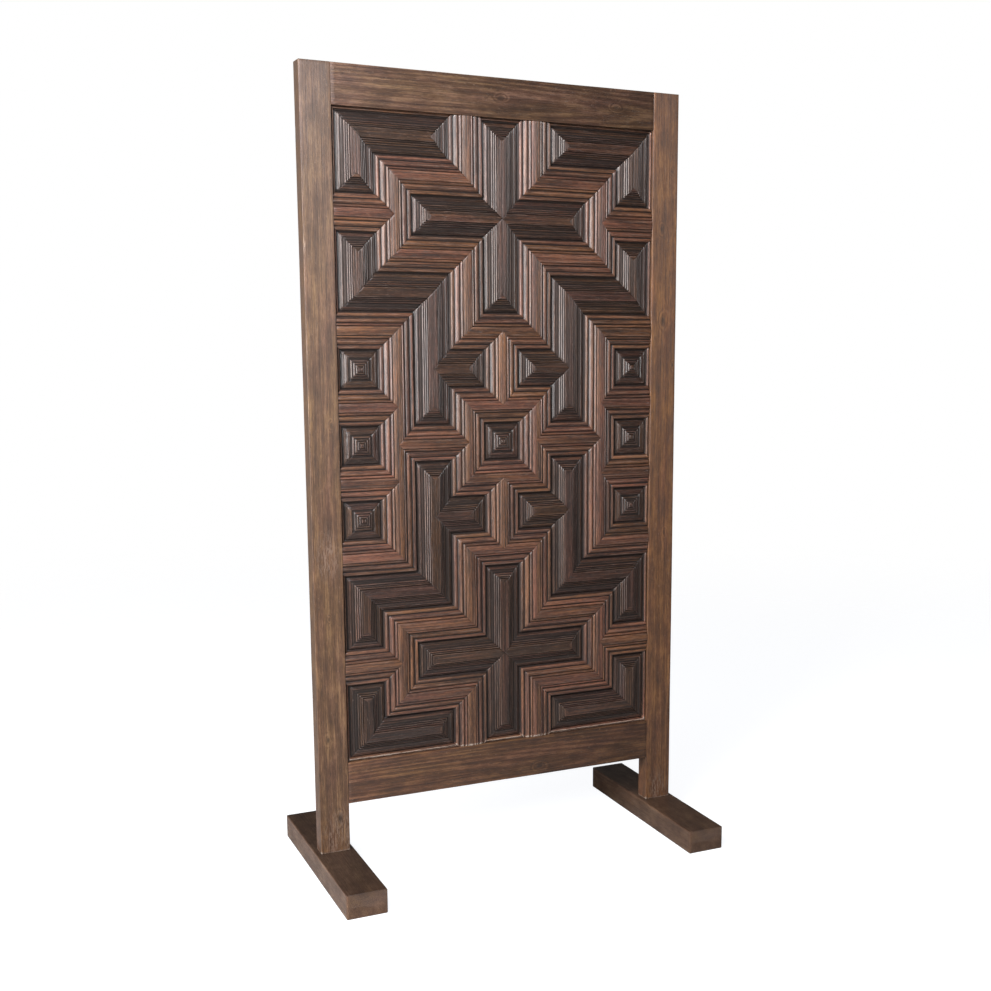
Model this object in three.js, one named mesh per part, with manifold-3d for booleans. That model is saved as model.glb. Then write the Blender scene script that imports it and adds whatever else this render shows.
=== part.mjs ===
// A free-standing wooden screen: a frame on two feet around a panel of mitred mouldings.
// Millimetres, +Z up, the front facing -Y, the origin on the ground below the middle of the frame.

import * as THREE from 'three';
import { mergeVertices } from 'three/addons/utils/BufferGeometryUtils.js';
import Module from 'manifold-3d';

const wasm = await Module();
wasm.setup();

// Driving sizes of the frame
const frameDepth = 46;
const stileWidth = 75;
const topRailHeight = 96.5;
const bottomRailHeight = 108;
const legHeight = 124;
const footWidth = 101;
const footHeight = 62;
const footLength = 594;
const arris = 2;
const footArris = 4;
const fitGap = 0.3;
const cutOver = 1;

// Driving sizes of the panel, which is laid out in square cells inside a narrow border
const cell = 93.5;
const border = 10;
const figureRise = 13.4;
const figureProud = 0.8;
const strapDrop = 9;
const mouldingBacking = 3.4;
const boardThickness = 16;
const boardPlanks = 6;
const seamWidth = 5;
const seamDepth = 2.5;

// The upper left quarter of the layout, out to the middle column and the middle row.
// A letter is a cell of a raised panel, and a dot is a cell of the straps between them.
const quarterLayout = [
  'AAA.C',
  'A...C',
  '..CCC',
  'S...C',
  'SSS.C',
  '..S..',
  'Q.SS.',
  '..S..',
  'M...O',
];
const figureNames = {
  A: 'angle_panel',
  C: 'cross_panel',
  S: 'stepped_panel',
  Q: 'square_panel',
  M: 'middle_square_panel',
  O: 'centre_square_panel',
};

// The mouldings in section, as two shares: how far a point lies from the edge of the raised
// panel, of half a cell, and how far it has risen, of the moulding's whole rise
const strapSection = [
  [0, 0.06],
  [0.06, 0.4],
  [0.16, 0.55],
  [0.26, 0.44],
  [0.31, 0.22],
  [0.36, 0.62],
  [0.46, 0.74],
  [0.56, 0.66],
  [0.61, 0.44],
  [0.67, 0.86],
  [0.74, 0.66],
  [0.78, 1],
];
const figureSection = [
  [0, 0],
  [0.03, 0.18],
  [0.09, 0.27],
  [0.14, 0.2],
  [0.25, 0.36],
  [0.29, 0.43],
  [0.34, 0.34],
  [0.4, 0.48],
  [0.58, 0.68],
  [0.63, 0.57],
  [0.71, 0.78],
  [0.78, 0.68],
  [0.85, 0.96],
  [0.88, 1],
];

// Sizes that follow from the driving ones. Heights in the panel are in front of the frame's face.
const middleColumn = quarterLayout[0].length - 1;
const middleRow = quarterLayout.length - 1;
const columns = 2 * middleColumn + 1;
const rows = 2 * middleRow + 1;
const openingWidth = columns * cell + 2 * border;
const openingHeight = rows * cell + 2 * border;
const railBottom = footHeight + legHeight;
const openingBottom = railBottom + bottomRailHeight;
const openingTop = openingBottom + openingHeight;
const overallHeight = openingTop + topRailHeight;
const stileCentre = (openingWidth + stileWidth) / 2;
const gridLeft = -columns * cell / 2;
const gridTop = openingTop - border;
const frontFace = -frameDepth / 2;
const mouldingBack = figureProud - figureRise - mouldingBacking;

const frameWood = new THREE.MeshStandardMaterial({ color: 0x6a5040, roughness: 0.5, metalness: 0 });
const strapWood = new THREE.MeshStandardMaterial({ color: 0x6b4633, roughness: 0.48, metalness: 0 });
const figureWood = new THREE.MeshStandardMaterial({ color: 0x352a27, roughness: 0.36, metalness: 0 });
const boardWood = new THREE.MeshStandardMaterial({ color: 0x5b4535, roughness: 0.62, metalness: 0 });

const screen = new THREE.Group();

function addPiece(name, geometry, material) {
  const piece = new THREE.Mesh(geometry, material);
  piece.name = name;
  screen.add(piece);
  return piece;
}

// A bar that runs up from the origin, with bevels along its edges, and at its ends if asked
function bar(width, depth, length, bevel, endBevel = 0) {
  const right = width / 2;
  const back = depth / 2;
  const section = new THREE.Shape();
  section.moveTo(bevel - right, -back);
  section.lineTo(right - bevel, -back);
  section.lineTo(right, bevel - back);
  section.lineTo(right, back - bevel);
  section.lineTo(right - bevel, back);
  section.lineTo(bevel - right, back);
  section.lineTo(-right, back - bevel);
  section.lineTo(-right, bevel - back);
  const geometry = new THREE.ExtrudeGeometry(section, {
    depth: length - 2 * endBevel,
    bevelEnabled: endBevel > 0,
    bevelThickness: endBevel,
    bevelSize: endBevel,
    bevelOffset: -endBevel,
    bevelSegments: 1,
  });
  return geometry.translate(0, 0, endBevel);
}

// A raised panel's cells become the corners of its outline, counterclockwise from the front
function outlineOf(cells) {
  const filled = new Set(cells.map(String));
  const isEmpty = (column, row) => !filled.has(String([column, row]));
  const edges = new Map();
  const addEdge = (from, to) => edges.set(String(from), { from, to });
  for (const [column, row] of cells) {
    const corners = [[column, row + 1], [column + 1, row + 1], [column + 1, row], [column, row]];
    if (isEmpty(column, row + 1)) addEdge(corners[0], corners[1]);
    if (isEmpty(column + 1, row)) addEdge(corners[1], corners[2]);
    if (isEmpty(column, row - 1)) addEdge(corners[2], corners[3]);
    if (isEmpty(column - 1, row)) addEdge(corners[3], corners[0]);
  }
  const loop = [];
  const first = edges.values().next().value;
  let edge = first;
  do {
    loop.push(edge.from);
    edge = edges.get(String(edge.to));
  } while (edge !== first);
  const isCorner = ([column, row], index) => {
    const before = loop.at(index - 1);
    const after = loop[(index + 1) % loop.length];
    return (before[0] !== column || after[0] !== column) && (before[1] !== row || after[1] !== row);
  };
  const place = ([column, row]) => new THREE.Vector2(gridLeft + column * cell, gridTop - row * cell);
  return loop.filter(isCorner).map(place);
}

// An outline moved inwards by a distance, or outwards by a negative one, with mitred corners
function inset(outline, distance) {
  const normal = (from, to) => {
    const along = to.clone().sub(from).normalize();
    return new THREE.Vector2(-along.y, along.x);
  };
  return outline.map((corner, index) => {
    const before = normal(outline.at(index - 1), corner);
    const after = normal(corner, outline[(index + 1) % outline.length]);
    return corner.clone().addScaledVector(before.add(after), distance);
  });
}

// Triangles between an outline's own corners that fill it, with no corner on another's side
function fill(points) {
  const cross = (a, b, c) => (b.x - a.x) * (c.y - a.y) - (b.y - a.y) * (c.x - a.x);
  const holds = (a, b, c, point) =>
    cross(a, b, point) >= 0 && cross(b, c, point) >= 0 && cross(c, a, point) >= 0;
  const left = points.map((point, index) => index);
  const triangles = [];
  const earAt = (place) => [left.at(place - 1), left[place], left[(place + 1) % left.length]];
  const isEar = (index, place) => {
    const ear = earAt(place);
    const [a, b, c] = ear.map((corner) => points[corner]);
    return cross(a, b, c) > 0
      && left.every((other) => ear.includes(other) || !holds(a, b, c, points[other]));
  };
  while (left.length > 2) {
    const place = left.findIndex(isEar);
    triangles.push(earAt(place));
    left.splice(place, 1);
  }
  return triangles;
}

// The closed body between rings of points, given from the back to the front
function reliefGeometry(rings) {
  const count = rings[0].points.length;
  const positions = rings.flatMap(({ points, height }) =>
    points.flatMap(({ x, y }) => [x, frontFace - height, y]));
  const triangles = [];
  for (let behind = 0; behind < (rings.length - 1) * count; behind += count) {
    for (let corner = 0; corner < count; corner += 1) {
      const a = behind + corner;
      const b = behind + (corner + 1) % count;
      triangles.push(a, b, b + count, a, b + count, a + count);
    }
  }
  for (const [a, b, c] of fill(rings[0].points)) triangles.push(a, c, b);
  const front = (rings.length - 1) * count;
  for (const [a, b, c] of fill(rings.at(-1).points)) triangles.push(front + a, front + b, front + c);
  const geometry = new THREE.BufferGeometry();
  geometry.setAttribute('position', new THREE.Float32BufferAttribute(positions, 3));
  geometry.setIndex(triangles);
  return geometry;
}

// The rings of a moulding that rises away from an outline: inwards for side 1, outwards for -1
function mouldingRings(outline, section, side, rise, top) {
  return section.map(([across, up]) => ({
    points: inset(outline, side * (fitGap / 2 + across * cell / 2)),
    height: top - (1 - up) * rise,
  }));
}

function raisedPanel(outline) {
  const rings = mouldingRings(outline, figureSection, 1, figureRise, figureProud);
  return reliefGeometry([{ points: rings[0].points, height: mouldingBack }, ...rings]);
}

function solidOf(geometry) {
  const bare = geometry.clone();
  bare.deleteAttribute('normal');
  bare.deleteAttribute('uv');
  const merged = mergeVertices(bare);
  return new wasm.Manifold(new wasm.Mesh({
    numProp: 3,
    vertProperties: merged.attributes.position.array,
    triVerts: new Uint32Array(merged.index.array),
  }));
}

function geometryOf(solid) {
  const { vertProperties, triVerts } = solid.getMesh();
  const geometry = new THREE.BufferGeometry();
  geometry.setAttribute('position', new THREE.BufferAttribute(vertProperties, 3));
  geometry.setIndex(new THREE.BufferAttribute(triVerts, 1));
  return geometry;
}

// The hollow that a raised panel sits in, lined by the mouldings that fall towards it
function hollow(outline) {
  const rings = mouldingRings(outline, strapSection, -1, strapDrop, 0);
  return reliefGeometry([
    { points: rings[0].points, height: mouldingBack - cutOver },
    ...rings,
    { points: rings.at(-1).points, height: cutOver },
  ]);
}

// One plate that fills the opening, with a hollow for each raised panel
function strapwork(outlines) {
  const plate = new THREE.BoxGeometry(
    openingWidth - 2 * fitGap,
    -mouldingBack,
    openingHeight - 2 * fitGap,
  );
  plate.translate(0, frontFace - mouldingBack / 2, openingBottom + openingHeight / 2);
  const hollowed = outlines.reduce(
    (solid, outline) => solid.subtract(solidOf(hollow(outline))),
    solidOf(plate),
  );
  return geometryOf(hollowed);
}

// Planks glued edge to edge, with a V groove along each seam at the back
function backBoard() {
  const right = openingWidth / 2 - fitGap;
  const plank = 2 * right / boardPlanks;
  const section = new THREE.Shape();
  section.moveTo(-right, 0);
  section.lineTo(right, 0);
  section.lineTo(right, boardThickness);
  for (let seam = right - plank; seam > plank / 2 - right; seam -= plank) {
    section.lineTo(seam + seamWidth / 2, boardThickness);
    section.lineTo(seam, boardThickness - seamDepth);
    section.lineTo(seam - seamWidth / 2, boardThickness);
  }
  section.lineTo(-right, boardThickness);
  return new THREE.ExtrudeGeometry(section, {
    depth: openingHeight - 2 * fitGap,
    bevelEnabled: false,
  });
}

// Every raised panel in the layout, with its name and its cells
function figures() {
  const found = [];
  const flipColumns = (cells) => cells.map(([column, row]) => [columns - 1 - column, row]);
  const flipRows = (cells) => cells.map(([column, row]) => [column, rows - 1 - row]);
  const withImage = (cells, flip) => {
    const merged = new Map([...cells, ...flip(cells)].map((place) => [String(place), place]));
    return [...merged.values()];
  };
  for (const [letter, kind] of Object.entries(figureNames)) {
    let cells = [];
    quarterLayout.forEach((line, row) => [...line].forEach((sign, column) => {
      if (sign === letter) cells.push([column, row]);
    }));
    const spansSides = cells.some(([column]) => column === middleColumn);
    const spansLevels = cells.some(([, row]) => row === middleRow);
    if (spansSides) cells = withImage(cells, flipColumns);
    if (spansLevels) cells = withImage(cells, flipRows);
    for (const level of spansLevels ? [''] : ['upper_', 'lower_']) {
      for (const side of spansSides ? [''] : ['left_', 'right_']) {
        const onSide = side === 'right_' ? flipColumns(cells) : cells;
        found.push({ name: level + side + kind, cells: level === 'lower_' ? flipRows(onSide) : onSide });
      }
    }
  }
  return found;
}

// The frame: a foot and a stile on each side, and two rails butted between the stiles
for (const [side, direction] of [['left', -1], ['right', 1]]) {
  const footShape = bar(footWidth, footHeight, footLength, footArris, footArris);
  const foot = addPiece(`${side}_foot`, footShape, frameWood);
  foot.rotation.x = -Math.PI / 2;
  foot.position.set(direction * stileCentre, -footLength / 2, footHeight / 2);
  const stileBottom = footHeight + fitGap;
  const stileShape = bar(stileWidth, frameDepth, overallHeight - stileBottom, arris);
  const stile = addPiece(`${side}_stile`, stileShape, frameWood);
  stile.position.set(direction * stileCentre, 0, stileBottom);
}

const railLength = openingWidth - 2 * fitGap;
const railPlaces = [
  ['top_rail', topRailHeight, openingTop],
  ['bottom_rail', bottomRailHeight, railBottom],
];
for (const [name, height, bottom] of railPlaces) {
  const rail = addPiece(name, bar(height, frameDepth, railLength, arris), frameWood);
  rail.rotation.y = Math.PI / 2;
  rail.position.set(-railLength / 2, 0, bottom + height / 2);
}

// The panel: a raised panel for each figure, the straps around them and the board behind them
const outlines = [];
for (const { name, cells } of figures()) {
  const outline = outlineOf(cells);
  outlines.push(outline);
  addPiece(name, raisedPanel(outline), figureWood);
}
addPiece('strapwork', strapwork(outlines), strapWood);
const board = addPiece('back_board', backBoard(), boardWood);
board.position.set(0, frontFace - mouldingBack + fitGap, openingBottom + fitGap);

export default screen;
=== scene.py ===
"""The finish of a free-standing wooden screen: worn frame timbers, mitred mouldings and their woods.

Metres, +Z up, the carved front facing -Y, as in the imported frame.
"""

import math
import random
from dataclasses import dataclass

import bpy
import numpy as np
from mathutils import Matrix, Vector, noise


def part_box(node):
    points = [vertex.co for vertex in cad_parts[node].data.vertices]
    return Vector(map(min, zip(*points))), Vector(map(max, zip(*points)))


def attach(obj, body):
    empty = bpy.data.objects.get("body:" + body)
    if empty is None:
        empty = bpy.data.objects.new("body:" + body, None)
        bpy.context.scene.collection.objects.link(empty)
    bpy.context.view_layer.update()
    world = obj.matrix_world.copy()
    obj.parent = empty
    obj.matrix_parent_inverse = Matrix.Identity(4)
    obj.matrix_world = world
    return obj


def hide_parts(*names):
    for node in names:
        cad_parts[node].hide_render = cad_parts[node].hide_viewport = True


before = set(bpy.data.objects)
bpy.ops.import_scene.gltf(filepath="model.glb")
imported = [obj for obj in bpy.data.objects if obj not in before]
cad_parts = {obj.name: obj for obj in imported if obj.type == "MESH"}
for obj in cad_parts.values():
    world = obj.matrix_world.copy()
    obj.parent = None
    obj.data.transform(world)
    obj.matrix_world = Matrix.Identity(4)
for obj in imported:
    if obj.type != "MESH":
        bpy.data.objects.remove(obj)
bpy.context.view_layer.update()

MM = 0.001
X, Y, Z = 0, 1, 2

# Camera, fitted to the screen's corners
CAMERA_PLACE = (-1.3202, -3.2563, 1.3988)
CAMERA_AZIMUTH = 26.907
CAMERA_ELEVATION = -9.498
CAMERA_ROLL = 0.426
CAMERA_LENS = 48.9
CAMERA_SENSOR = 36
CAMERA_SHIFT = (-0.1188, 0.0548)

# Lights: name, place, target, width and height, watts, colour
LIGHTS = (
    ("left window", (-2.12, -1.62, 1.9), (0, 0, 1.2), (2.1, 2.1), 138, (0.92, 0.97, 1.0)),
    ("front window", (-0.7, -3.2, 2.8), (-0.3, 0, 1.8), (2.2, 1.2), 42, (0.93, 0.97, 1.05)),
    ("low window", (-2.9, -0.6, 0.8), (-0.4, 0, 0.6), (1.4, 1.4), 35, (0.94, 0.98, 1.0)),
    ("upper key", (-1.9, -1.9, 3.1), (0, 0, 1.2), (0.5, 0.5), 55, (1.0, 0.98, 0.96)),
)
FILL_COLOUR = (1.0, 0.91, 0.86, 1)
FILL_STRENGTH = 0.08

# Floor, which fades out between two distances from the middle
FLOOR_RADIUS = 6
FLOOR_COLOUR = (0.3, 0.3, 0.3, 1)
FLOOR_GLOW = (0.97, 0.98, 1, 1)
FLOOR_GLOW_STRENGTH = 0.94
FLOOR_FADE = (1.6, 5.5)

# Gaps that the solids and the lengths of moulding keep to each other
FIT_GAP = 0.3 * MM
MITRE_GAP = 0.1 * MM
SHORTEST = 0.2 * MM

# Lengths of moulding: spacing of their points, and how their ends dip into the mitres
COLUMN_STEP = 6 * MM
MITRE_ROUND = 1.2 * MM
MITRE_DIP = 0.4 * MM
SMOOTH_ANGLE = 40

# Unevenness of a length: sideways drift and rise of its waves, and ranges that its waves and nicks
# are drawn from. Lifts and nicks are in millimetres.
DRIFT = 0.22 * MM
RISE = 0.16 * MM
LIFT = 0.25
WAVE_COUNT = 5
WAVE_SIZE, WAVE_SPAN, WAVE_PHASE, WAVE_SKEW = (0.5, 1), (0.03, 0.3), (0, 6.28), (-220, 220)
WAVE_TURN = 6.283
NICK_SPACING = 0.12
NICK_ROW, NICK_DEPTH, NICK_WIDTH = (4, 12), (0.2, 0.9), (1.5, 4)

# Tones of the lengths: spread of a length's own tone and redness, and of its strips' redness, and the
# painted shade on the borders above and left of a panel and the painted light on those below and right
OWN_TONE = 0.3
OWN_REDNESS = 0.6
STRIP_REDNESS = 0.5
FIGURE_STRIPS = 0.5
STRAP_STRIPS = 0.3
PAINTED_SHADE_BORDER = -0.9
PAINTED_LIGHT_BORDER = 0.7

# Crest shares say what is worn, and a share above 1 holds pale dust: along the bottom border, where
# it is also a painted highlight on the bead that faces up, on the straps that end on the bottom rail,
# and at the feet of the stiles
MITRE_CREST = 0.5
WALL_CREST = 0.2
DUST_AND_LIGHT_BORDER = 0.6
DUSTY_END = 1.1
DUSTY_STILE = 0.7
POWDER = (0.36, 0.28, 0.23, 1.0)

# A moulding's section runs from the edge of a raised panel to the middle of a strap or an arm.
# An edge and a flat have rows of (distance, height, crest share). A round is (start, foot height,
# crest height, end, foot height, skew), and a skew below 1 moves its crest towards its start. A
# groove is cut before each round and before the flat. Millimetres, with heights in front of the
# frame's face.
# Rows with a low crest share, in grooves and in the joint at a raised panel's edge, get dirt and painted
# shade
STRAP = {
    "edge": ((0.3, -14.0, 0.0), (1.8, -13.4, 0.0), (2.4, -9.9, 0.2)),
    "rounds": (
        (3.1, -9.4, -4.4, 12.6, -6.6, 0.6),
        (13.6, -7.6, -2.4, 26.9, -4.8, 1.2),
        (27.9, -5.6, -0.9, 34.6, -3.0, 1.0),
    ),
    "flat": ((35.5, -2.2, 0.35), (36.0, -0.5, 0.65), (37.0, 0.0, 0.95)),
    "groove_depth": 0.8,
}
BORDER = {
    "edge": ((0.3, -12.0, 0.0), (1.4, -11.8, 0.2)),
    "rounds": ((2.3, -11.0, -6.6, 7.4, -10.0, 1.0),),
    "flat": ((8.2, -11.5, 0.35), (8.8, -11.5, 0.65), (9.4, -11.5, 0.95)),
    "groove_depth": 0.8,
}
ARM = {
    "edge": (
        (0.3, -15.0, 0.0), (2.2, -14.2, 0.0), (2.9, -11.3, 0.4), (4.6, -10.3, 0.7), (5.2, -10.6, 0.3),
        (5.8, -9.6, 0.65), (9.4, -7.9, 0.85), (10.2, -7.9, 0.6), (10.9, -8.5, 0.1), (13.2, -8.8, 0.25),
        (14.8, -8.0, 0.6), (16.4, -8.2, 0.25), (18.6, -8.1, 0.1),
    ),
    "rounds": (
        (19.8, -7.9, -5.2, 23.6, -5.5, 1.0),
        (24.6, -5.9, -3.1, 28.2, -3.4, 1.0),
        (29.2, -3.8, -0.9, 32.8, -1.3, 1.0),
    ),
    "flat": ((34.1, -4.2, 0.2), (34.6, -0.6, 0.8), (35.3, 0.5, 1.0), (37.0, 0.5, 0.7)),
    "groove_depth": 0.8,
}
SQUARE = {
    "edge": (
        (0.3, -15.0, 0.0), (2.2, -14.2, 0.0), (2.9, -11.2, 0.4), (7.6, -9.4, 0.75), (8.4, -9.9, 0.3),
        (9.2, -8.9, 0.7), (16.0, -7.2, 0.75), (17.4, -7.0, 0.7), (18.2, -7.9, 0.1), (21.2, -7.8, 0.1),
    ),
    "rounds": (
        (22.6, -7.6, -4.8, 28.0, -5.1, 1.0),
        (29.0, -5.3, -2.6, 34.4, -2.9, 1.0),
        (35.4, -3.1, -0.9, 39.7, -1.2, 1.0),
    ),
    "flat": ((40.6, -3.2, 0.35), (41.0, -0.8, 0.65), (42.0, 0.6, 0.95)),
    "groove_depth": 0.8,
}
GROOVE_HALF = 0.45
WIDE_ROUND = 8
WIDE_STEPS, NARROW_STEPS = 7, 5
FULLNESS = 0.8
MIDDLE_CREST = 0.7

# Timbers: spacing of their points, small hollows in their faces, and nicks in their edges
RING_STEP = 12 * MM
STATION_STEP = 10 * MM
CORNER_POINTS = 5
FACE_CREST = 0.55
EDGE_CREST = 0.6
HOLLOW = 0.3 * MM
HOLLOWS_ALONG, HOLLOWS_ACROSS = 9, 30
SKIN = 0.05 * MM
END_EASE = 4 * MM
TIMBER_NICKS = 20
TIMBER_NICK_DEPTH, TIMBER_NICK_WIDTH = (0.3, 1.4), (2, 8)
NICK_POINTS = 1.5

# Board
BOARD_PLANKS = 6
BOARD_SEAM = 2.5 * MM
BOARD_STEP = 0.8
BOARD_HOLLOW = 0.3 * MM
PLANK_POINTS = 12
PLANK_STATIONS = 60

# Noise in the wood: times a metre along the grain and across it, detail and roughness
LAYERS = {
    "warp": (3, 22, 2, 0.5),
    "broad": (4, 260, 3, 0.6),
    "fibre": (9, 640, 4, 0.7),
    "short": (70, 420, 3, 0.65),
    "pores": (34, 900, 2, 0.6),
    "patches": (5, 26, 3, 0.6),
    "wear": (18, 240, 3, 0.65),
    "flecks": (44, 340, 3, 0.7),
    "scratches": (70, 330, 4, 0.7),
    "dust": (90, 210, 3, 0.75),
    "ripple": (45, 300, 3, 0.6),
}
CLOUD_DETAIL, CLOUD_ROUGHNESS = 4, 0.6

# Values of a noise between which its marks fade in
MARKS = {
    "pores": (0.57, 0.7),
    "wear": (0.42, 0.62),
    "flecks": (0.57, 0.67),
    "scratches": (0.46, 0.62),
    "dust": (0.62, 0.72),
    "short": (0.36, 0.56),
}

# Figure of the wood: its rings, how they bend, and how its colour swings from yellow to red
HEART_STRETCH = (0.06, 1.0, 1.0)
RING_TURN = 6.28
RING_WARP = 7.0
KNOT_STRETCH = (0.55, 1.0, 1.0)
KNOT_TURN = 7.0
KNOT_WARP = 16.0
KNOT_BEND = 9.0
KNOT_RINGS = 0.13
SCUFF_STRETCH = (0.5, 1.0, 1.0)
YELLOW, RED = (1.06, 1.0, 0.76, 1.0), (1.08, 0.93, 0.98, 1.0)
HUE_RANGE = 1.2
TONE_SHARE = 0.3

# Strengths of the marks, the crest shares between which they come, and the roughness where dirt and painted
# shade lie
SCUFF_SHARE, KNOT_SHARE, POWDER_SHARE, DIRT_AND_SHADE_SHARE = 0.8, 0.7, 0.8, 0.92
WEAR_CREST, POWDER_CREST, DIRT_AND_SHADE_CREST = (0.8, 0.98), (1.02, 1.4), 0.05
DIRT_AND_SHADE_ROUGHNESS = 0.3
GLOSS_RANGE, ROUGHER, SMOOTHER = (0.6, 1.4), 0.18, 0.1
SPECULAR = 0.8
RELIEF = {"fibre": 0.8, "broad": 2.6, "ripple": 1.0}
PORE_RELIEF = -0.6
FIBRE_SLANT = (0.013, 0.02, 0.017)

# Places that follow from the frame
strap_low, strap_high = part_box("strapwork")
front_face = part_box("left_stile")[0][Y]
moulding_back = strap_high[Y]
square_low, square_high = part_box("centre_square_panel")
cell = square_high[X] - square_low[X] + FIT_GAP
across_limit = cell / 2


def srgb(red, green, blue):
    """A colour from 0 to 255, as seen on a screen, in linear light."""
    def linear(value):
        value /= 255
        return value / 12.92 if value <= 0.04045 else ((value + 0.055) / 1.055) ** 2.4
    return (linear(red), linear(green), linear(blue), 1.0)


@dataclass
class Look:
    """How a stained and waxed wood looks. Knots and scuffs are (place, size) in its grain map."""

    # Dark, middle and light figure, the colour of pores, knots, dirt and painted shade in the grooves,
    # the colour of worn edges, and the gloss's tint
    colours: tuple
    groove: tuple
    worn: tuple
    sheen: tuple

    # Roughness of the wax, the coat over it, and how far the fibres stretch the gloss
    gloss: float = 0.5
    coat: float = 0.3
    coat_roughness: float = 0.24
    fibre_gloss: float = 0.62

    # Size of the whole figure, rings a metre, the tree's middle, and strengths of what it is made of
    scale: float = 1.0
    ring: float = 70.0
    heart: tuple = (0, 0, 0)
    ring_depth: float = 0.06
    stripes: float = 1.7
    fibres: float = 1.7
    streaks: float = 0.0
    clouds: float = 1.1
    cloud_size: tuple = (6, 14)
    patches: float = 2.0

    # Marks of growth and use, with the crest share that dirt and painted shade in the grooves reach up to
    knots: tuple = ()
    scuffs: tuple = ()
    pore_depth: float = 0.55
    wear_depth: float = 0.55
    flecks: float = 0.0
    dust: float = 0.0
    dirt_and_shade_reach: float = 0.7
    bump_height: float = 0.5


class Shader:
    """A material's nodes, with short calls for those that are used often."""

    def __init__(self, name):
        self.material = bpy.data.materials.new(name)
        self.material.use_nodes = True
        self.nodes = self.material.node_tree.nodes
        self.links = self.material.node_tree.links
        self.surface = self.nodes["Principled BSDF"]

    def node(self, kind, inputs=(), **settings):
        made = self.nodes.new(kind)
        for key, value in settings.items():
            setattr(made, key, value)
        for key, value in dict(inputs).items():
            self.put(made.inputs[key], value)
        return made

    def put(self, socket, value):
        """Link a node's output to a socket, or set a plain value on it."""
        if isinstance(value, bpy.types.NodeSocket):
            self.links.new(value, socket)
        else:
            socket.default_value = value

    def attribute(self, name):
        return self.node("ShaderNodeAttribute", attribute_name=name).outputs["Vector"]

    def parts(self, vector):
        return self.node("ShaderNodeSeparateXYZ", {0: vector}).outputs

    def maths(self, operation, first, second=0.0, clamp=False):
        made = self.node("ShaderNodeMath", {0: first, 1: second}, operation=operation, use_clamp=clamp)
        return made.outputs[0]

    def weigh(self, terms, start=0.0):
        """The sum of some values, each times its own weight."""
        total = start
        for value, weight in terms:
            inputs = {0: value, 1: weight, 2: total}
            total = self.node("ShaderNodeMath", inputs, operation="MULTIPLY_ADD").outputs[0]
        return total

    def vector(self, operation, first, second):
        return self.node("ShaderNodeVectorMath", {0: first, 1: second}, operation=operation).outputs[0]

    def size_of(self, vector):
        return self.node("ShaderNodeVectorMath", {0: vector}, operation="LENGTH").outputs["Value"]

    def scaled(self, colour, factor):
        made = self.node("ShaderNodeVectorMath", {0: colour}, operation="SCALE")
        self.put(made.inputs["Scale"], factor)
        return made.outputs[0]

    def distance(self, place, centre, stretch):
        """How far a place is from a centre, once stretched along each axis."""
        return self.size_of(self.vector("MULTIPLY", self.vector("SUBTRACT", place, centre), stretch))

    def noise(self, vector, stretch, detail, roughness):
        place = self.vector("MULTIPLY", vector, stretch)
        inputs = {"Vector": place, "Scale": 1.0, "Detail": detail, "Roughness": roughness}
        return self.node("ShaderNodeTexNoise", inputs).outputs["Fac"]

    def spread(self, value, low, high, out_low=0.0, out_high=1.0):
        """A smooth step from one value to another."""
        inputs = {0: value, 1: low, 2: high, 3: out_low, 4: out_high}
        return self.node("ShaderNodeMapRange", inputs, clamp=True, interpolation_type="SMOOTHSTEP").outputs[0]

    def fade(self, value, near, far):
        return self.spread(value, near, far, 1.0, 0.0)

    def mix(self, share, first, second, blend="MIX"):
        made = self.node("ShaderNodeMix", {0: share, 6: first, 7: second}, data_type="RGBA", blend_type=blend)
        return made.outputs[2]

    def ramp(self, value, colours):
        """Evenly spaced colours from 0 to 1."""
        made = self.node("ShaderNodeValToRGB", {0: value})
        elements = made.color_ramp.elements
        while len(elements) < len(colours):
            elements.new(0.5)
        for index, (element, colour) in enumerate(zip(elements, colours)):
            element.position = index / (len(colours) - 1)
            element.color = colour
        return made.outputs[0]


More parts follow.
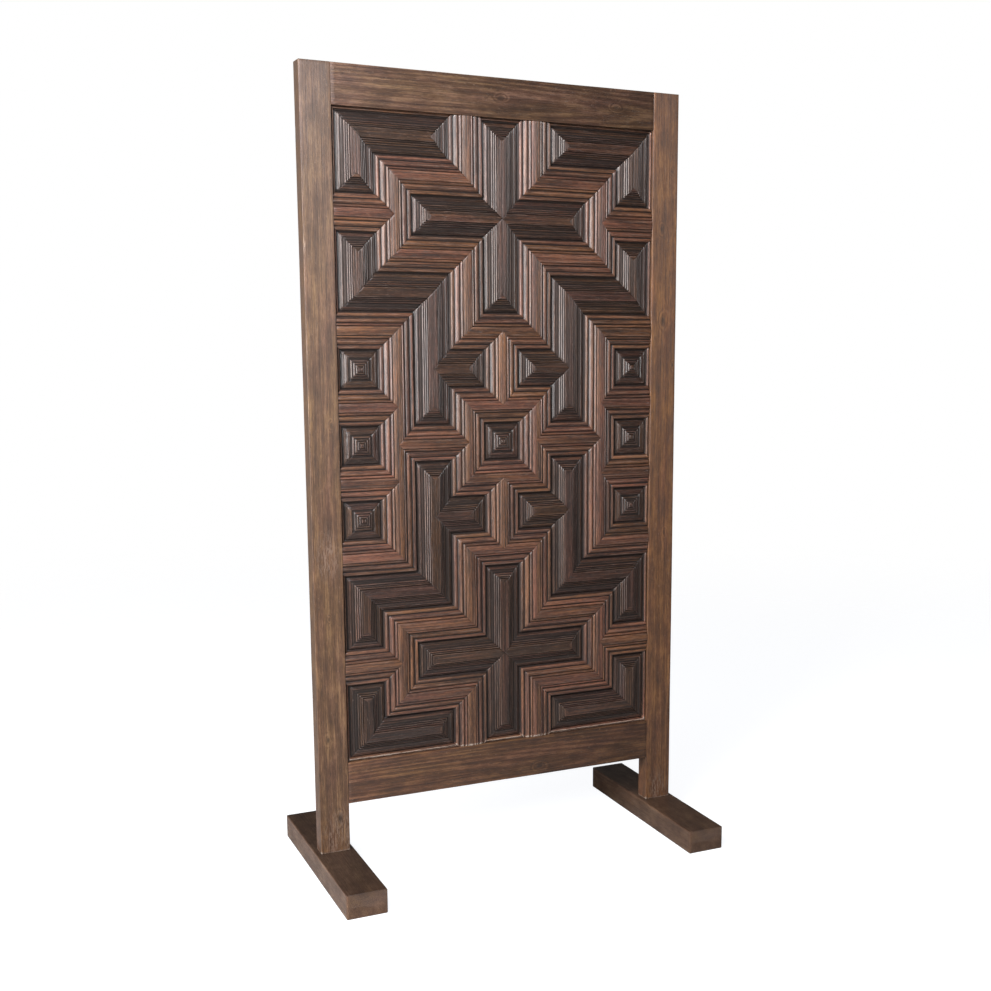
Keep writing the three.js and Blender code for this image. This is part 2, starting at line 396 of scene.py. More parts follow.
class Wood(Shader):
    """A wood whose grain runs along the first axis of the piece's grain map.

    The piece's tint holds a tone, a redness and a crest share at each point.
    """

    def __init__(self, name, look):
        super().__init__(name)
        self.look = look
        self.grain = self.attribute("grain")
        self.tone, self.redness, self.crest = self.parts(self.attribute("tint"))
        self.layers = {}
        # Dirt and painted shade: grooves, joints and walls, where the crest share is low, darken towards the
        # groove colour
        self.dirt_and_shade = self.fade(self.crest, DIRT_AND_SHADE_CREST, look.dirt_and_shade_reach)
        self.put(self.surface.inputs["Base Color"], self.marked(self.stained(self.figured())))
        self.add_gloss()
        self.add_relief()

    def layer(self, name):
        """One of the noises in the wood, made once."""
        if name not in self.layers:
            if name == "clouds":
                along, across = self.look.cloud_size
                detail, roughness = CLOUD_DETAIL, CLOUD_ROUGHNESS
            else:
                along, across, detail, roughness = LAYERS[name]
            scale = self.look.scale
            stretch = (along * scale, across * scale, across * scale)
            self.layers[name] = self.noise(self.grain, stretch, detail, roughness)
        return self.layers[name]

    def marks(self, name):
        return self.spread(self.layer(name), *MARKS[name])

    def over(self, colour, mask, strength, paint):
        """A colour with paint over it where a mask lets it through."""
        return self.mix(self.maths("MULTIPLY", mask, strength), colour, paint)

    def figured(self):
        """The colour of rings, stripes, fibres, streaks, clouds and rings around the knots."""
        look = self.look
        warp = self.layer("warp")
        radius = self.distance(self.grain, look.heart, HEART_STRETCH)
        turns = self.weigh(((radius, look.ring * RING_TURN), (warp, RING_WARP)))
        knot_rings = 0.0
        for place, size in look.knots:
            away = self.distance(self.grain, place, KNOT_STRETCH)
            circle = self.maths("SINE", self.weigh(((away, KNOT_TURN / size), (warp, KNOT_WARP))))
            faded = self.maths("MULTIPLY", circle, self.fade(away, 0.8 * size, 3.2 * size))
            knot_rings = self.weigh(((faded, 1.0),), start=knot_rings)
            turns = self.weigh(((self.fade(away, size, 3.2 * size), KNOT_BEND),), start=turns)
        terms = (
            (self.maths("SINE", turns), look.ring_depth),
            (self.layer("broad"), look.stripes),
            (self.layer("fibre"), look.fibres),
            (self.layer("short"), look.streaks),
            (self.layer("clouds"), look.clouds),
            (knot_rings, KNOT_RINGS),
        )
        weights = look.stripes + look.fibres + look.streaks + look.clouds
        return self.ramp(self.weigh(terms, start=0.5 - 0.5 * weights), look.colours)

    def stained(self, colour):
        """The figure with its pores, its drift between yellow and red, and the piece's own tone."""
        look = self.look
        colour = self.over(colour, self.marks("pores"), look.pore_depth, look.groove)
        drift = ((self.redness, 1.0), (self.layer("patches"), look.patches))
        redness = self.weigh(drift, start=-0.5 * look.patches)
        hue = self.mix(self.spread(redness, -HUE_RANGE, HUE_RANGE), YELLOW, RED)
        colour = self.mix(1.0, colour, hue, "MULTIPLY")
        return self.scaled(colour, self.weigh(((self.tone, TONE_SHARE),), start=1.0))

    def marked(self, colour):
        """The stained wood with its wear, flecks, scuffs, knots, dust, and dirt and painted shade, from below
        upward.
        """
        look = self.look
        wear = self.maths("MULTIPLY", self.spread(self.crest, *WEAR_CREST), self.marks("wear"))
        colour = self.over(colour, wear, look.wear_depth, look.worn)
        if look.flecks:
            colour = self.over(colour, self.marks("flecks"), look.flecks, look.groove)
        for place, size in look.scuffs:
            near = self.fade(self.distance(self.grain, place, SCUFF_STRETCH), 0.2 * size, size)
            rubbed = self.maths("MULTIPLY", near, self.marks("scratches"))
            colour = self.over(colour, rubbed, SCUFF_SHARE, look.worn)
        if look.knots:
            cores = 0.0
            for place, size in look.knots:
                core = self.fade(self.distance(self.grain, place, KNOT_STRETCH), 0.5 * size, 1.5 * size)
                cores = self.weigh(((core, 1.0),), start=cores)
            colour = self.mix(self.maths("MULTIPLY", cores, KNOT_SHARE, clamp=True), colour, look.groove)
        if look.dust:
            colour = self.over(colour, self.marks("dust"), look.dust, look.worn)
        settled = self.maths("MULTIPLY", self.spread(self.crest, *POWDER_CREST), self.marks("short"))
        colour = self.over(colour, settled, POWDER_SHARE, POWDER)
        # Dirt and painted shade in the grooves go over all the other marks
        return self.over(colour, self.dirt_and_shade, DIRT_AND_SHADE_SHARE, look.groove)

    def add_gloss(self):
        """A satin wax under a thin coat. Fibres spread the gloss across the grain and tint it."""
        look = self.look
        inputs = self.surface.inputs
        grainy = self.maths("ADD", self.layer("fibre"), self.layer("clouds"))
        rough = self.spread(grainy, *GLOSS_RANGE, look.gloss + ROUGHER, look.gloss - SMOOTHER)
        self.put(inputs["Roughness"], self.weigh(((rough, 1.0), (self.dirt_and_shade, DIRT_AND_SHADE_ROUGHNESS))))
        inputs["Coat Weight"].default_value = look.coat
        inputs["Coat Roughness"].default_value = look.coat_roughness
        normal = self.node("ShaderNodeNewGeometry").outputs["Normal"]
        self.put(inputs["Tangent"], self.vector("CROSS_PRODUCT", normal, self.attribute("fibre")))
        inputs["Anisotropic"].default_value = look.fibre_gloss
        inputs["Specular IOR Level"].default_value = SPECULAR
        inputs["Specular Tint"].default_value = look.sheen

    def add_relief(self):
        """Fine relief of the fibres, with the pores sunk in."""
        terms = [(self.layer(name), weight) for name, weight in RELIEF.items()]
        relief = self.weigh((*terms, (self.marks("pores"), PORE_RELIEF)))
        inputs = {"Height": relief, "Strength": 1.0, "Distance": self.look.bump_height * MM}
        self.put(self.surface.inputs["Normal"], self.node("ShaderNodeBump", inputs).outputs[0])


class Builder:
    """Gathers closed bodies into one mesh, with the grain map, tint and fibre of each point."""

    def __init__(self):
        self.points = []
        self.faces = []
        self.layers = {"grain": [], "tint": [], "fibre": []}
        self.count = 0

    def add(self, points, faces, grain, tint, fibre):
        self.points.append(points)
        self.layers["grain"].append(grain)
        self.layers["tint"].append(tint)
        self.layers["fibre"].append(np.tile(np.array(fibre) + FIBRE_SLANT, (len(points), 1)))
        self.faces.extend([[index + self.count for index in face] for face in faces])
        self.count += len(points)

    def piece(self, name, material, slot, replaced):
        mesh = bpy.data.meshes.new(name)
        mesh.from_pydata(np.concatenate(self.points).tolist(), [], self.faces)
        for key, values in self.layers.items():
            layer = mesh.attributes.new(key, "FLOAT_VECTOR", "POINT")
            layer.data.foreach_set("vector", np.concatenate(values).astype(np.float32).ravel())
        mesh.shade_smooth()
        mesh.set_sharp_from_angle(angle=math.radians(SMOOTH_ANGLE))
        mesh.materials.append(material)
        made = bpy.data.objects.new(name, mesh)
        bpy.context.collection.objects.link(made)
        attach(made, "root")
        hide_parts(*replaced)


def tube_faces(rows, count):
    """Faces around a row of closed rings, with a cap at each end."""
    faces = []
    for row in range(rows - 1):
        for index in range(count):
            here, following = row * count + index, row * count + (index + 1) % count
            faces.append([here, following, following + count, here + count])
    faces.append(list(range(count - 1, -1, -1)))
    faces.append(list(range((rows - 1) * count, rows * count)))
    return faces


def section_of(edge, rounds, flat, groove_depth):
    """Rows of (distance, height, crest share, strip) across a moulding, in metres."""
    rows = [(*row, 0) for row in edge]
    for strip, (start, foot, crest, end, far_foot, skew) in enumerate(rounds, 1):
        rows.append((start - GROOVE_HALF, min(foot, rows[-1][1]) - groove_depth, 0.0, strip))
        steps = WIDE_STEPS if end - start > WIDE_ROUND else NARROW_STEPS
        for step in range(steps + 1):
            share = (1 - math.cos(math.pi * step / steps)) / 2
            swell = math.sin(math.pi * share ** skew)
            middle = foot * (1 - share) + far_foot * share
            rise = crest - (foot + far_foot) / 2
            rows.append((start + (end - start) * share, middle + rise * swell ** FULLNESS, swell, strip))
    strip = len(rounds) + 1
    rows.append((flat[0][0] - GROOVE_HALF, min(flat[0][1], rows[-1][1]) - groove_depth, 0.0, strip))
    rows.extend((*row, strip) for row in flat)
    rows.append((across_limit / MM, flat[-1][1], MIDDLE_CREST, strip))
    return np.array(rows) * (MM, MM, 1, 1)


def cut_section(rows, limit):
    """The rows up to a limit, with one more exactly on it."""
    kept = rows[rows[:, 0] < limit - SHORTEST]
    edge = [np.interp(limit, rows[:, 0], rows[:, column]) for column in range(3)] + [kept[-1, 3]]
    return np.vstack([kept, [edge]])


class Side:
    """One straight side of a raised panel's outline, in the plane of the front."""

    def __init__(self, start, end, convex_start, convex_end):
        self.start = start
        self.end = end
        self.length = np.linalg.norm(end - start)
        self.along = (end - start) / self.length
        self.inward = np.array([-self.along[1], self.along[0]])
        self.convex = (convex_start, convex_end)
        self.vertical = abs(self.along[1]) > 0.5


def node_points(name):
    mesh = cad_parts[name].data
    points = np.empty(len(mesh.vertices) * 3, dtype=np.float32)
    mesh.vertices.foreach_get("co", points)
    return points.reshape(-1, 3).astype(float)


def outline_of(name):
    """A raised panel's corners on the edges of its cells, counterclockwise from the front."""
    points = node_points(name)
    back = points[:, Y].max()
    corners = {(round(x, 5), round(z, 5)) for x, y, z in points if y > back - 0.1 * MM}

    def partners(fixed, running):
        found = {}
        ordered = sorted(corners, key=lambda corner: (corner[fixed], corner[running]))
        for first, second in zip(ordered[::2], ordered[1::2]):
            found[first] = second
            found[second] = first
        return found

    level, upright = partners(1, 0), partners(0, 1)
    start = min(corners, key=lambda corner: (corner[1], corner[0]))
    loop = [start]
    while True:
        loop.append(level[loop[-1]])
        following = upright[loop[-1]]
        if following == start:
            break
        loop.append(following)
    outline = np.array(loop)
    after = np.roll(outline, -1, axis=0) - outline
    after /= np.linalg.norm(after, axis=1)[:, None]
    inward = np.stack([-after[:, 1], after[:, 0]], axis=1)
    return outline - (inward + np.roll(inward, 1, axis=0)) * FIT_GAP / 2


def sides_of(outline):
    following = np.roll(outline, -1, axis=0)
    directions = following - outline
    before = np.roll(directions, 1, axis=0)
    convex = before[:, 0] * directions[:, 1] - before[:, 1] * directions[:, 0] > 0
    return [Side(*ends) for ends in zip(outline, following, convex, np.roll(convex, -1))]


class Wobble:
    """The unevenness of one hand-planed length: slow waves along it and a few nicks."""

    def __init__(self, rng, length):
        ranges = (WAVE_SIZE, WAVE_SPAN, WAVE_PHASE, WAVE_SKEW)
        self.waves = [[rng.uniform(*limits) for limits in ranges] for _ in range(WAVE_COUNT)]
        self.lift = rng.uniform(-LIFT, LIFT) * MM
        self.nicks = []
        for _ in range(int(length / NICK_SPACING) + 1):
            place = rng.uniform(0, length)
            shape = [rng.uniform(*limits) * MM for limits in (NICK_ROW, NICK_DEPTH, NICK_WIDTH)]
            self.nicks.append((place, *shape))

    def wave(self, along, across, turn):
        total = 0
        for size, span, phase, skew in self.waves:
            total = total + size * np.sin(WAVE_TURN * along / span + phase * turn + across * skew)
        return total / 3

    def dips(self, along, across):
        total = 0
        for place, row, deep, wide in self.nicks:
            total = total - deep * np.exp(-((along - place) / wide) ** 2 - ((across - row) / (2 * MM)) ** 2)
        return total


def spans(side, across, outward, room):
    """Where each row of a length starts and ends along its side, mitred or cut square."""
    reach = []
    for end in (0, 1):
        spread = np.minimum(across, room[end]) if outward else across
        grows = side.convex[end] == outward
        reach.append(spread if grows else -across)
    start = -reach[0] + MITRE_GAP
    end = side.length + reach[1] - MITRE_GAP
    tight = end - start < SHORTEST
    middle = (start + end) / 2
    return np.where(tight, middle - SHORTEST / 2, start), np.where(tight, middle + SHORTEST / 2, end)


def columns_along(start, end):
    """Places along each row: its two ends, and even steps between two points close to them."""
    columns = max(4, int((end - start).max() / COLUMN_STEP))
    shares = np.linspace(0, 1, columns)[None, :].repeat(len(start), 0)
    margin = np.minimum(MITRE_ROUND / (end - start), 0.3)[:, None]
    inner = margin + (1 - 2 * margin) * shares
    shares = np.hstack([np.zeros_like(margin), inner, np.ones_like(margin)])
    return start[:, None] + (end - start)[:, None] * shares


def uneven(rows, along, rng, length):
    """Distances across and heights of a length's points, with the wobble of hand work."""
    across = rows[:, 0]
    across_grid = across[:, None].repeat(along.shape[1], 1)
    wobble = Wobble(rng, length)
    window = np.sqrt(np.clip(np.sin(math.pi * across / across_limit), 0, 1))[:, None]
    drift = DRIFT * window * wobble.wave(along, across_grid, 1)
    rise = RISE * wobble.wave(along, across_grid * 0.3, 2)
    rise = rise + wobble.lift * window + wobble.dips(along, across_grid) * window
    rise[:, 0] -= MITRE_DIP
    rise[:, -1] -= MITRE_DIP
    rise *= np.clip(window * 3, 0, 1)
    return across_grid + drift, rows[:, 1][:, None] + rise


def length_faces(row_count, column_count):
    """Faces of a length: its moulded front, then its back, its two ends and its two long walls."""
    faces = []
    for row in range(row_count - 1):
        for column in range(column_count - 1):
            here = row * column_count + column
            faces.append([here, here + 1, here + 1 + column_count, here + column_count])
    low = row_count * column_count
    for row in range(row_count - 1):
        near, far = low + 2 * row, low + 2 * row + 2
        first, second = row * column_count, (row + 1) * column_count
        faces.append([near, far, far + 1, near + 1])
        faces.append([first, second, far, near])
        faces.append([second - 1, near + 1, far + 1, second + column_count - 1])
    last, high = low - column_count, low + 2 * row_count
    faces.append([low + 1, *range(column_count - 1, -1, -1), low])
    faces.append([high - 2, *range(last, low), high - 1])
    return faces


def strip_looks(side, direction, rows, rng, family, strip_spread, tone_shift):
    """The tone and redness of each strip of a length, and its place in the wood.

    The flat middles of both halves of a strap or an arm share theirs, whichever side they lie on.
    """
    flat_axis = 0 if side.vertical else 1
    centre = side.start[flat_axis] + direction[flat_axis] * across_limit
    shared = random.Random(f"{family} {side.vertical} {round(centre / MM)}")
    own, own_red = rng.gauss(0, OWN_TONE), rng.gauss(0, OWN_REDNESS)
    shared_red = shared.gauss(0, OWN_REDNESS)
    middle_strip = int(rows[-1, 3]) if rows[-1, 0] >= across_limit - SHORTEST else -1
    tints, shifts = [], []
    for strip in range(int(rows[:, 3].max()) + 1):
        source, tone, redness = (shared, 0, shared_red) if strip == middle_strip else (rng, own, own_red)
        tone += source.gauss(0, strip_spread) + tone_shift
        tints.append((tone, redness + source.gauss(0, STRIP_REDNESS)))
        shifts.append((source.uniform(-9, 9), source.uniform(-2, 2), source.uniform(0.02, 0.2)))
    return np.array(tints), np.array(shifts)


def add_length(builder, side, rows, rng, family, strip_spread, outward=False, room=None, tone_shift=0.0):
    """One closed length of moulding along a side.

    An outward length lies outside the raised panel, with some room at each of its ends. Its tone shift
    is added to every strip's tone; the borders get their painted light and painted shade through it.
    """
    direction = -side.inward if outward else side.inward
    along = columns_along(*spans(side, rows[:, 0], outward, room))
    place, height = uneven(rows, along, rng, side.length)
    x = side.start[0] + side.along[0] * along + direction[0] * place
    z = side.start[1] + side.along[1] * along + direction[1] * place
    top = np.stack([x, front_face - height, z], axis=2)
    bottom = top[:, [0, -1]].copy()
    bottom[:, :, Y] = moulding_back
    points = np.concatenate([top.reshape(-1, 3), bottom.reshape(-1, 3)])
    row_count, column_count = along.shape
    faces = length_faces(row_count, column_count)
    if outward:
        faces = [face[::-1] for face in faces]

    # The grain runs along the length
    tints, shifts = strip_looks(side, direction, rows, rng, family, strip_spread, tone_shift)
    strips = rows[:, 3].astype(int)
    strip_of = np.concatenate([strips.repeat(column_count), strips.repeat(2)])
    running, crossing = (Z, X) if side.vertical else (X, Z)
    grain = points[:, [running, crossing, Y]] + shifts[strip_of]

    crest_top = rows[:, 2][:, None].repeat(column_count, 1)
    crest_top[:, [0, -1]] *= MITRE_CREST
    if outward and side.vertical:
        lowest = 0 if side.along[1] > 0 else 1
        if room[lowest] < across_limit:
            crest_top[:, (0, 1) if lowest == 0 else (-1, -2)] += DUSTY_END
    crest = np.concatenate([crest_top.ravel(), np.full(2 * row_count, WALL_CREST)])
    tint = np.column_stack([tints[strip_of], crest])
    builder.add(points, faces, grain, tint, (side.along[0], 0, side.along[1]))


def room_beyond(point, direction):
    """How far the panel goes on from a point in a direction along an axis, up to the frame."""
    axis = 0 if abs(direction[0]) > 0.5 else 1
    low = (strap_low[X], strap_low[Z])[axis]
    high = (strap_high[X], strap_high[Z])[axis]
    return high - point[axis] if direction[axis] > 0 else point[axis] - low


def mouldings(name):
    """The dark lengths of one raised panel, and the brown ones that surround it."""
    rng = random.Random(name)
    strap_rows, border_rows = section_of(**STRAP), section_of(**BORDER)
    figure_rows = section_of(**(SQUARE if "square" in name else ARM))
    dark, brown = Builder(), Builder()
    for side in sides_of(outline_of(name)):
        add_length(dark, side, figure_rows, rng, name, FIGURE_STRIPS)
        rows, painted_light_and_shade = strap_rows, 0.0
        facing = room_beyond(side.start, -side.inward)
        if facing < across_limit:
            rows = cut_section(border_rows, facing)
            # Painted light on the borders below and right of the panel, painted shade on those above and left
            # of it
            painted_light_and_shade = PAINTED_LIGHT_BORDER if side.inward[1] > side.inward[0] else PAINTED_SHADE_BORDER
            # Pale dust and a painted highlight on the bottom border, whose bead faces up
            if side.inward[1] > 0.5:
                rows = rows + (0, 0, DUST_AND_LIGHT_BORDER, 0)
        room = (room_beyond(side.start, -side.along), room_beyond(side.end, side.along))
        add_length(brown, side, rows, rng, "strap", STRAP_STRIPS, outward=True, room=room, tone_shift=painted_light_and_shade)
    dark.piece(f"{name}_mouldings", figure_wood, "figure_wood", [name])
    brown.piece(f"{name}_surround", strap_wood, "strap_wood", ["strapwork"])


def ring_around(extent, edge_radius):
    """Points around a timber's section, with the outward direction and crest share of each."""
    ring = []
    for quarter in range(4):
        turn = math.pi / 2 * quarter
        forward = np.array([math.cos(turn), math.sin(turn)])
        sideways = np.array([-math.sin(turn), math.cos(turn)])
        reach = abs(forward) @ extent
        width = abs(sideways) @ extent
        steps = max(3, int(2 * width / RING_STEP))
        for step in range(steps):
            share = (step + 0.5) / steps * 2 - 1
            ring.append((forward * reach + sideways * (width - edge_radius) * share, forward, FACE_CREST))
        corner = forward * (reach - edge_radius) + sideways * (width - edge_radius)
        for step in range(CORNER_POINTS):
            angle = math.pi / 2 * step / (CORNER_POINTS - 1)
            normal = forward * math.cos(angle) + sideways * math.sin(angle)
            ring.append((corner + normal * edge_radius, normal, 0.8 + 0.2 * math.sin(2 * angle)))
    return [np.array(values) for values in zip(*ring)]


def stations_along(half, end_radius):
    """Places along a timber, with how far its section draws in at each of them."""
    body = np.linspace(-half + end_radius, half - end_radius, int(2 * half / STATION_STEP))
    low = [(-half, end_radius), (-half + 0.3 * end_radius, 0.3 * end_radius)]
    high = [(half - 0.3 * end_radius, 0.3 * end_radius), (half, end_radius)]
    return low + [(place, 0.0) for place in body] + high


def timber_nicks(rng, half, edge):
    """Nicks in a timber's edges: (point of the ring, place along it, depth, width)."""
    nicks = []
    for _ in range(int(TIMBER_NICKS * 2 * half)):
        at, where = rng.choice(range(len(edge))), rng.uniform(-half, half)
        deep, wide = rng.uniform(*TIMBER_NICK_DEPTH) * MM, rng.uniform(*TIMBER_NICK_WIDTH) * MM
        if edge[at] > EDGE_CREST:
            nicks.append((at, where, deep, wide))
    return nicks


def timber(name, axis, edge_radius, end_radius, tones, redness, cast, end_tone=0.0, painted_top_shade=0.0, **figure):
    """A squared timber in place of a plain bar: eased edges, uneven faces and small nicks.

    Its grain map is measured from its middle: along it, then across it along the other two axes.
    The tones are those of its two ends, and the end tone is added on its end faces. The faces that
    look up get painted shade, as much as the painted top shade says. The cast multiplies the red,
    green and blue of the frame's wood.
    """
    colours = [tuple(part * share for part, share in zip(colour, (*cast, 1))) for colour in FRAME_COLOURS]
    look = Look(
        colours, groove=FRAME_GROOVE, worn=FRAME_WORN, sheen=(1, 0.86, 0.8, 1),
        coat=0.5, bump_height=0.3, wear_depth=0.2, **figure,
    )
    rng = random.Random(name)
    low, high = (np.array(corner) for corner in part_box(name))
    centre, half = (low + high) / 2, (high - low) / 2
    length = half[axis]
    first, second = [index for index in (X, Y, Z) if index != axis]
    outline, normals, edge = ring_around(half[[first, second]], edge_radius)
    stations = stations_along(length, end_radius)
    nicks = timber_nicks(rng, length, edge)
    shift = Vector((rng.uniform(0, 50), rng.uniform(0, 50), rng.uniform(0, 50)))

    points = []
    for place, inset in stations:
        ease = min(1.0, (length - abs(place)) / END_EASE)
        for index, (flat, normal) in enumerate(zip(outline, normals)):
            spot = Vector((place * HOLLOWS_ALONG, flat[0] * HOLLOWS_ACROSS, flat[1] * HOLLOWS_ACROSS)) + shift
            move = HOLLOW * min(noise.noise(spot) - 0.5, 0) * ease - inset
            if edge[index] > EDGE_CREST:
                for at, where, deep, wide in nicks:
                    if abs(at - index) < 3 and abs(where - place) < 3 * wide:
                        away = ((place - where) / wide) ** 2 + ((at - index) / NICK_POINTS) ** 2
                        move -= deep * math.exp(-away) * ease
            point = centre.copy()
            point[axis] += place
            point[[first, second]] += flat + normal * (move - SKIN)
            points.append(point)
    points = np.array(points)
    count = len(outline)
    faces = tube_faces(len(stations), count)
    if axis == Y:
        faces = [face[::-1] for face in faces]

    local = points - centre
    tone = np.interp(local[:, axis], (-length, length), tones)
    crest = np.tile(edge, len(stations))
    if axis == Z:
        crest[:3 * count] += DUSTY_STILE
    else:
        # Painted shade on the faces that look up
        tone += np.tile(np.clip(normals[:, 1], 0, 1), len(stations)) * painted_top_shade
    tone[:count] += end_tone
    tone[-count:] += end_tone
    tint = np.stack([tone, np.full(len(points), redness), crest], axis=1)
    builder = Builder()
    builder.add(points, faces, local[:, [axis, first, second]], tint, np.eye(3)[axis])
    builder.piece(f"{name}_timber", Wood(f"{name} wood", look).material, "frame_wood", [name])


def plank_section(left, right, front, back, rng):
    """Corners around one plank, with eased seams and a slightly hollow back."""
    width = right - left - 2 * BOARD_SEAM
    section = [(left, front), (right, front), (right, back - BOARD_SEAM), (right - BOARD_SEAM, back)]
    for share in range(1, PLANK_POINTS):
        hollow = BOARD_HOLLOW * math.sin(math.pi * share / PLANK_POINTS) * rng.uniform(0.5, 1)
        section.append((right - BOARD_SEAM - width * share / PLANK_POINTS, back - hollow))
    return section + [(left + BOARD_SEAM, back), (left, back - BOARD_SEAM)]


def back_planks():
    """The board's planks, glued edge to edge, each with its own grain and a slight step."""
    low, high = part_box("back_board")
    width = (high[X] - low[X]) / BOARD_PLANKS
    stations = np.linspace(low[Z], high[Z], PLANK_STATIONS)
    rng = random.Random("board")
    builder = Builder()
    for index in range(BOARD_PLANKS):
        left, right = low[X] + index * width, low[X] + (index + 1) * width
        back = high[Y] - rng.uniform(0, BOARD_STEP) * MM
        section = plank_section(left, right, low[Y], back, rng)
        shift = (rng.uniform(-9, 9), rng.uniform(-0.05, 0.05), rng.uniform(0.05, 0.15))
        tone, red = rng.gauss(0, 0.4), rng.gauss(0, 0.4)
        points, grain, tint = [], [], []
        for z in stations:
            for x, y in section:
                points.append((x, y, z))
                grain.append((z + shift[0], x - (left + right) / 2 + shift[1], y + shift[2]))
                at_seam = min(x - left, right - x) < BOARD_SEAM / 2
                tint.append((tone, red, 0.25 if at_seam else 0.6))
        faces = tube_faces(len(stations), len(section))
        builder.add(np.array(points), faces, np.array(grain), np.array(tint), (0, 0, 1))
    builder.piece("back_planks", board_wood, "board_wood", ["back_board"])


def add_camera():
    angles = (CAMERA_AZIMUTH, CAMERA_ELEVATION, CAMERA_ROLL)
    azimuth, elevation, roll = (math.radians(angle) for angle in angles)
    level = math.cos(elevation)
    look = Vector((math.sin(azimuth) * level, math.cos(azimuth) * level, math.sin(elevation)))
    right = Vector((math.cos(azimuth), -math.sin(azimuth), 0))
    up = right.cross(look)
    rolled_right = right * math.cos(roll) + up * math.sin(roll)
    rolled_up = up * math.cos(roll) - right * math.sin(roll)
    data = bpy.data.cameras.new("camera")
    data.lens = CAMERA_LENS
    data.sensor_width = CAMERA_SENSOR
    data.shift_x, data.shift_y = CAMERA_SHIFT
    camera = bpy.data.objects.new("camera", data)
    turn = Matrix((rolled_right, rolled_up, -look)).transposed().to_4x4()
    camera.matrix_world = Matrix.Translation(CAMERA_PLACE) @ turn
    bpy.context.collection.objects.link(camera)
    bpy.context.scene.camera = camera


def add_floor():
    """A pale round floor that fades out into the background."""
    shader = Shader("floor")
    inputs = shader.surface.inputs
    inputs["Base Color"].default_value = FLOOR_COLOUR
    inputs["Roughness"].default_value = 0.9
    inputs["Specular IOR Level"].default_value = 0.1
    inputs["Emission Color"].default_value = FLOOR_GLOW
    seen = shader.node("ShaderNodeLightPath").outputs["Is Camera Ray"]
    shader.put(inputs["Emission Strength"], shader.maths("MULTIPLY", seen, FLOOR_GLOW_STRENGTH))
    place = shader.node("ShaderNodeNewGeometry").outputs["Position"]
    shader.put(inputs["Alpha"], shader.fade(shader.size_of(place), *FLOOR_FADE))
    bpy.ops.mesh.primitive_circle_add(vertices=96, radius=FLOOR_RADIUS, fill_type="NGON", location=(0, 0, 0))
    floor = bpy.context.object
    floor.name = "floor"
    floor.data.materials.append(shader.material)


def add_light(name, place, target, size, power, colour):
    data = bpy.data.lights.new(name, "AREA")
    data.shape = "RECTANGLE"
    data.size, data.size_y = size
    data.energy = power
    data.color = colour
    light = bpy.data.objects.new(name, data)
    light.location = place
    light.rotation_euler = (Vector(target) - Vector(place)).to_track_quat("-Z", "Y").to_euler()
    light.visible_camera = False
    bpy.context.collection.objects.link(light)


def add_world():
    """A white background to the camera, and a dim even fill for everything else."""
    world = bpy.data.worlds.new("world")
    bpy.context.scene.world = world
    world.use_nodes = True
    nodes, links = world.node_tree.nodes, world.node_tree.links
    seen = nodes.new("ShaderNodeBackground")
    seen.inputs["Color"].default_value = (1, 1, 1, 1)
    fill = nodes["Background"]
    fill.inputs["Color"].default_value = FILL_COLOUR
    fill.inputs["Strength"].default_value = FILL_STRENGTH
    path = nodes.new("ShaderNodeLightPath")
    both = nodes.new("ShaderNodeMixShader")
    links.new(path.outputs["Is Camera Ray"], both.inputs[0])
    links.new(fill.outputs[0], both.inputs[1])
    links.new(seen.outputs[0], both.inputs[2])
    links.new(both.outputs[0], nodes["World Output"].inputs["Surface"])


# Woods
strap_wood = Wood("strap wood", Look(
    (srgb(36, 22, 15), srgb(78, 50, 36), srgb(118, 81, 60)),
    groove=srgb(17, 10, 8), worn=srgb(142, 110, 92), sheen=(1, 0.9, 0.87, 1),
    gloss=0.46, coat=0.42, coat_roughness=0.15, fibre_gloss=0.68,
    stripes=2.3, streaks=1.5, patches=4.0, wear_depth=0.45, dust=0.4, dirt_and_shade_reach=0.4, bump_height=0.7,
)).material
figure_wood = Wood("figure wood", Look(
    (srgb(22, 13, 9), srgb(47, 31, 23), srgb(82, 57, 45)),
    groove=srgb(7, 5, 4), worn=srgb(120, 98, 88), sheen=(1, 0.82, 0.76, 1),
    gloss=0.4, coat=0.54, coat_roughness=0.13, fibre_gloss=0.7,
    stripes=2.4, streaks=1.6, patches=4.0, wear_depth=0.75, dust=0.5, dirt_and_shade_reach=0.75, bump_height=0.8,
)).material
board_wood = Wood("board wood", Look(
    (srgb(58, 43, 32), srgb(88, 67, 50), srgb(116, 92, 70)),
    groove=srgb(30, 21, 17), worn=srgb(120, 100, 80), sheen=(1, 0.85, 0.75, 1),
    gloss=0.65, coat=0.0, scale=0.7,
)).material
FRAME_COLOURS = (srgb(50, 31, 19), srgb(82, 56, 39), srgb(122, 93, 70))
FRAME_GROOVE = srgb(26, 17, 13)
FRAME_WORN = srgb(128, 104, 88)
PLAIN_FIGURE = {
    "stripes": 0.6, "fibres": 1.8, "streaks": 0.8, "clouds": 1.4, "cloud_size": (14, 30), "patches": 5.5,
    "flecks": 0.5, "dust": 0.5,
}
FOOT_FIGURE = {
    "heart": (0.1, 0.04, 0.12), "ring": 60, "ring_depth": 0.03,
    "stripes": 0.3, "fibres": 1.0, "streaks": 1.2, "clouds": 1.2, "cloud_size": (14, 30),
    "pore_depth": 0.3, "dust": 0.3,
}

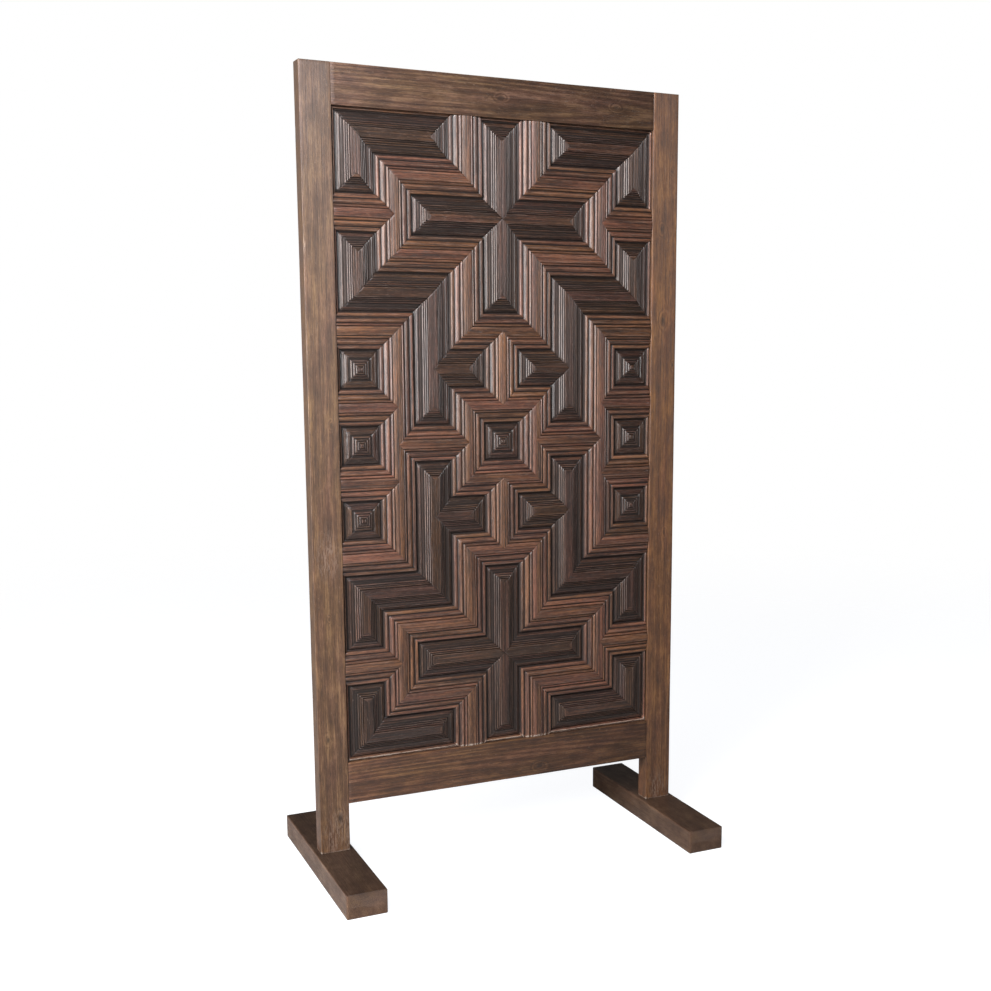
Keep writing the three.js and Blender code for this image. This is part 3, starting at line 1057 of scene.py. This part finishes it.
add_camera()
for node_name in sorted(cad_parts):
    if node_name.endswith("_panel"):
        mouldings(node_name)
timber(
    "left_stile", Z, 1.3 * MM, 1.0 * MM, tones=(0.95, -0.45), redness=-0.55, cast=(0.97, 1.0, 1.03),
    heart=(0.4, 0.1, 0.16), ring=110, ring_depth=0.1,
    knots=(
        ((-0.67, -0.012, -0.02), 5 * MM),
        ((-0.88, 0.014, -0.02), 6 * MM),
        ((-0.36, 0.0, -0.02), 3 * MM),
        ((0.12, 0.018, -0.02), 4 * MM),
    ),
    scuffs=(((-0.93, 0.012, -0.02), 60 * MM), ((-0.2, 0, -0.02), 45 * MM)),
    **PLAIN_FIGURE,
)
timber(
    "right_stile", Z, 1.3 * MM, 1.0 * MM, tones=(0.5, 0.5), redness=-0.7, cast=(1.08, 0.92, 0.74),
    heart=(-0.3, -0.08, 0.2), ring=120, ring_depth=0.1,
    knots=(
        ((0.77, 0.02, -0.02), 4 * MM),
        ((0.62, -0.01, -0.02), 5 * MM),
        ((0.38, -0.002, -0.02), 7 * MM),
        ((0.26, 0.03, -0.02), 4 * MM),
        ((-0.2, 0.01, -0.02), 4 * MM),
    ),
    scuffs=(((-0.95, 0, -0.02), 45 * MM),),
    **PLAIN_FIGURE,
)
timber(
    "top_rail", X, 1.3 * MM, 0.2 * MM, tones=(-0.05, -1.1), redness=-0.2, cast=(0.94, 1.0, 1.14),
    heart=(-0.22, 0.02, -0.01), ring=150, ring_depth=0.18,
    knots=(((0.0, -0.02, 0.0), 5 * MM), ((0.32, -0.02, 0.0), 5 * MM)),
    **PLAIN_FIGURE,
)
timber(
    "bottom_rail", X, 1.3 * MM, 0.2 * MM, tones=(0.15, -1.15), redness=-0.1, cast=(1.0, 0.89, 0.78),
    heart=(-0.3, 0.015, -0.02), ring=130, ring_depth=0.18,
    knots=(((0.1, -0.02, -0.03), 6 * MM),),
    **PLAIN_FIGURE,
)
# Each foot's tone, and the painted shade on its top
for foot, foot_tone, foot_top_shade in (("left_foot", 0.9, -2.9), ("right_foot", -0.35, -1.1)):
    timber(
        foot, Y, 3.0 * MM, 2.0 * MM, tones=(foot_tone, foot_tone), redness=-0.2, cast=(0.98, 1.06, 1.2),
        end_tone=0.9, painted_top_shade=foot_top_shade, **FOOT_FIGURE,
    )
back_planks()

add_floor()
add_world()
for light in LIGHTS:
    add_light(*light)
bpy.context.scene.view_settings.view_transform = "Standard"
